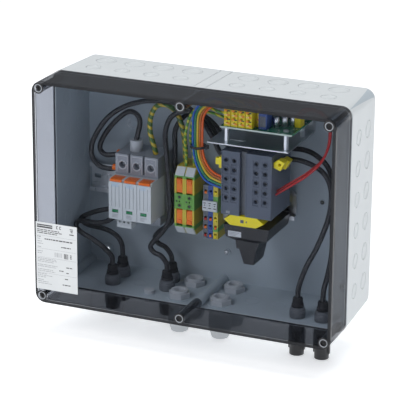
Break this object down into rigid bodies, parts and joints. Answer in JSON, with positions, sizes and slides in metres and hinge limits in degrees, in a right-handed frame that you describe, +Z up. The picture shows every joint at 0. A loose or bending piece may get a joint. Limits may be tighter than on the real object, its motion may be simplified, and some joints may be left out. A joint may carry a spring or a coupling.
{
  "type": "dc combiner box",
  "caption": "Grey wall box with a smoked lift-off cover over surge plugs, rail terminals, a motor-driven DC switch, a control board and cable fittings below.",
  "frame": {"origin": "centre of the back face, in the middle of the four wall screws", "axes": "+X right seen from the front, -Y out of the wall towards the viewer, +Z up"},
  "size_m": [0.36, 0.1362, 0.304],
  "materials": {
    "shell_grey": "light grey moulded plastic, fine matt texture",
    "smoked_cover": "smoked transparent polycarbonate, polished",
    "seal_rubber": "black foamed seal",
    "label_white": "white printed film",
    "plated_steel": "bright zinc plating",
    "screw_dark": "dark plastic screw",
    "light_grey_plastic": "light grey polyamide",
    "device_grey": "grey device housing",
    "device_white": "off-white device housing",
    "green_yellow_plastic": "green-yellow polyamide",
    "blue_plastic": "blue polyamide",
    "orange_plastic": "orange lever",
    "yellow_plastic": "yellow plastic",
    "switch_grey": "dark blue-grey switch housing",
    "black_plastic": "black polyamide",
    "contact_brass": "brass",
    "motor_steel": "steel motor can",
    "board_green": "green solder mask",
    "can_aluminium": "aluminium cans",
    "cable_black": "black cable sheath",
    "wire_orange": "wire insulation",
    "wire_red": "red wire insulation"
  },
  "bodies": {
    "base": {"base_shell": "shell_grey", "cover_gasket": "seal_rubber", "din_rail": "plated_steel", "rail_screws": "plated_steel", "end_clamps": "light_grey_plastic", "spd_base": "device_grey", "spd_terminal_screws": "plated_steel", "spd_entry_bush": "light_grey_plastic", "ground_terminals": "green_yellow_plastic", "terminal_markers": "device_white", "grey_terminal": "device_grey", "blue_terminal": "blue_plastic", "earth_terminal": "green_yellow_plastic", "contact_block_left": "switch_grey", "contact_block_right": "switch_grey", "switch_core": "switch_grey", "switch_clips": "yellow_plastic", "switch_foot": "yellow_plastic", "contact_screws": "contact_brass", "drive_housing": "black_plastic", "drive_motor": "motor_steel", "board_bracket": "plated_steel", "bracket_hardware": "plated_steel", "control_board": "board_green", "board_connectors": "yellow_plastic", "board_relay": "blue_plastic", "board_capacitors": "can_aluminium", "gland_bodies": "light_grey_plastic", "gland_locknuts": "light_grey_plastic", "gland_dome_nuts": "light_grey_plastic", "gland_seals": "seal_rubber", "vent_plug": "light_grey_plastic", "string_inlets": "black_plastic", "inlet_nuts": "device_grey", "inlet_boots": "seal_rubber", "string_cables": "cable_black", "surge_cables": "cable_black", "control_wires": "wire_orange", "red_wires": "wire_red", "ground_wires": "green_yellow_plastic", "cable_tie": "black_plastic"},
    "cover": {"cover": "smoked_cover", "type_label": "label_white"},
    "rotor": {"switch_rotor": "light_grey_plastic", "contact_bridges": "contact_brass"},
    "signal_plug": {"spd_signal_plug": "device_white"},
    "cover_screw_1": {"cover_screw_1": "screw_dark"},
    "cover_screw_2": {"cover_screw_2": "screw_dark"},
    "cover_screw_3": {"cover_screw_3": "screw_dark"},
    "cover_screw_4": {"cover_screw_4": "screw_dark"},
    "cover_screw_5": {"cover_screw_5": "screw_dark"},
    "cover_screw_6": {"cover_screw_6": "screw_dark"},
    "plug_1": {"spd_plug_1": "device_white"},
    "plug_2": {"spd_plug_2": "device_white"},
    "plug_3": {"spd_plug_3": "device_white"},
    "lever_1": {"ground_lever_1": "orange_plastic"},
    "lever_2": {"ground_lever_2": "orange_plastic"},
    "lever_3": {"ground_lever_3": "orange_plastic"},
    "lever_4": {"ground_lever_4": "orange_plastic"}
  },
  "joints": [
    {"name": "cover_lift", "type": "slide", "parent": "base", "child": "cover", "axis": [0, -1, 0], "range_m": [0, 0.16]},
    {"name": "cover_screw_1_turn", "type": "hinge", "parent": "cover", "child": "cover_screw_1", "pos_m": [-0.172, -0.1, 0.124], "axis": [0, -1, 0], "range_deg": [0, 90]},
    {"name": "cover_screw_2_turn", "type": "hinge", "parent": "cover", "child": "cover_screw_2", "pos_m": [0, -0.1, 0.124], "axis": [0, -1, 0], "range_deg": [0, 90]},
    {"name": "cover_screw_3_turn", "type": "hinge", "parent": "cover", "child": "cover_screw_3", "pos_m": [0.172, -0.1, 0.124], "axis": [0, -1, 0], "range_deg": [0, 90]},
    {"name": "cover_screw_4_turn", "type": "hinge", "parent": "cover", "child": "cover_screw_4", "pos_m": [-0.172, -0.1, -0.124], "axis": [0, -1, 0], "range_deg": [0, 90]},
    {"name": "cover_screw_5_turn", "type": "hinge", "parent": "cover", "child": "cover_screw_5", "pos_m": [0, -0.1, -0.124], "axis": [0, -1, 0], "range_deg": [0, 90]},
    {"name": "cover_screw_6_turn", "type": "hinge", "parent": "cover", "child": "cover_screw_6", "pos_m": [0.172, -0.1, -0.124], "axis": [0, -1, 0], "range_deg": [0, 90]},
    {"name": "plug_1_pull", "type": "slide", "parent": "base", "child": "plug_1", "axis": [0, -1, 0], "range_m": [0, 0.02]},
    {"name": "plug_2_pull", "type": "slide", "parent": "base", "child": "plug_2", "axis": [0, -1, 0], "range_m": [0, 0.02]},
    {"name": "plug_3_pull", "type": "slide", "parent": "base", "child": "plug_3", "axis": [0, -1, 0], "range_m": [0, 0.02]},
    {"name": "signal_plug_pull", "type": "slide", "parent": "base", "child": "signal_plug", "axis": [0, -1, 0], "range_m": [0, 0.012]},
    {"name": "lever_1_swing", "type": "hinge", "parent": "base", "child": "lever_1", "pos_m": [-0.03585, -0.0515, -0.004], "axis": [1, 0, 0], "range_deg": [0, 90]},
    {"name": "lever_2_swing", "type": "hinge", "parent": "base", "child": "lever_2", "pos_m": [-0.02355, -0.0515, -0.004], "axis": [1, 0, 0], "range_deg": [0, 90]},
    {"name": "lever_3_swing", "type": "hinge", "parent": "base", "child": "lever_3", "pos_m": [-0.03585, -0.0515, -0.028], "axis": [-1, 0, 0], "range_deg": [0, 90]},
    {"name": "lever_4_swing", "type": "hinge", "parent": "base", "child": "lever_4", "pos_m": [-0.02355, -0.0515, -0.028], "axis": [-1, 0, 0], "range_deg": [0, 90]},
    {"name": "rotor_turn", "type": "hinge", "parent": "base", "child": "rotor", "pos_m": [0.0535, -0.054, 0], "axis": [0, 0, 1], "range_deg": [0, 90]}
  ]
}
